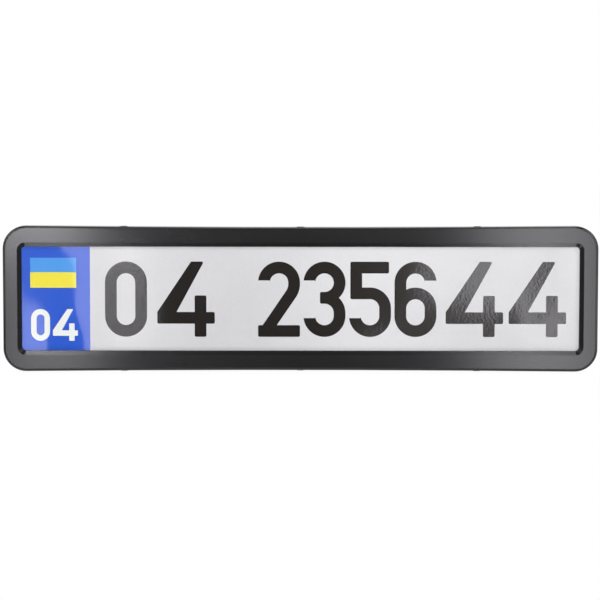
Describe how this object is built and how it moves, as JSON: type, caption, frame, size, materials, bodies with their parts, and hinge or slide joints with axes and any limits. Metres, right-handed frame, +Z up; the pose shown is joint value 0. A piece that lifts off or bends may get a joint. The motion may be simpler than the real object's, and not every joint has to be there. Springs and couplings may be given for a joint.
{
  "type": "number plate holder",
  "caption": "Black moulded number plate holder for a car: ribbed base tray with screw slots, clip-on frame with bevelled lip, and a flat display plate held between them.",
  "frame": {"origin": "centre of the screw slots, on the tray's rear plane, which lies against the car", "axes": "+X along the plate to the viewer's right, +Y from the front to the rear, +Z up"},
  "size_m": [0.531, 0.0125, 0.1302],
  "materials": {
    "frame_plastic": "satin, lightly grained",
    "tray_plastic": "matte, moulded",
    "plate_film": "glossy printed film"
  },
  "bodies": {
    "root": {"clip_frame": "frame_plastic", "base_tray": "tray_plastic", "number_plate": "plate_film"}
  },
  "joints": []
}
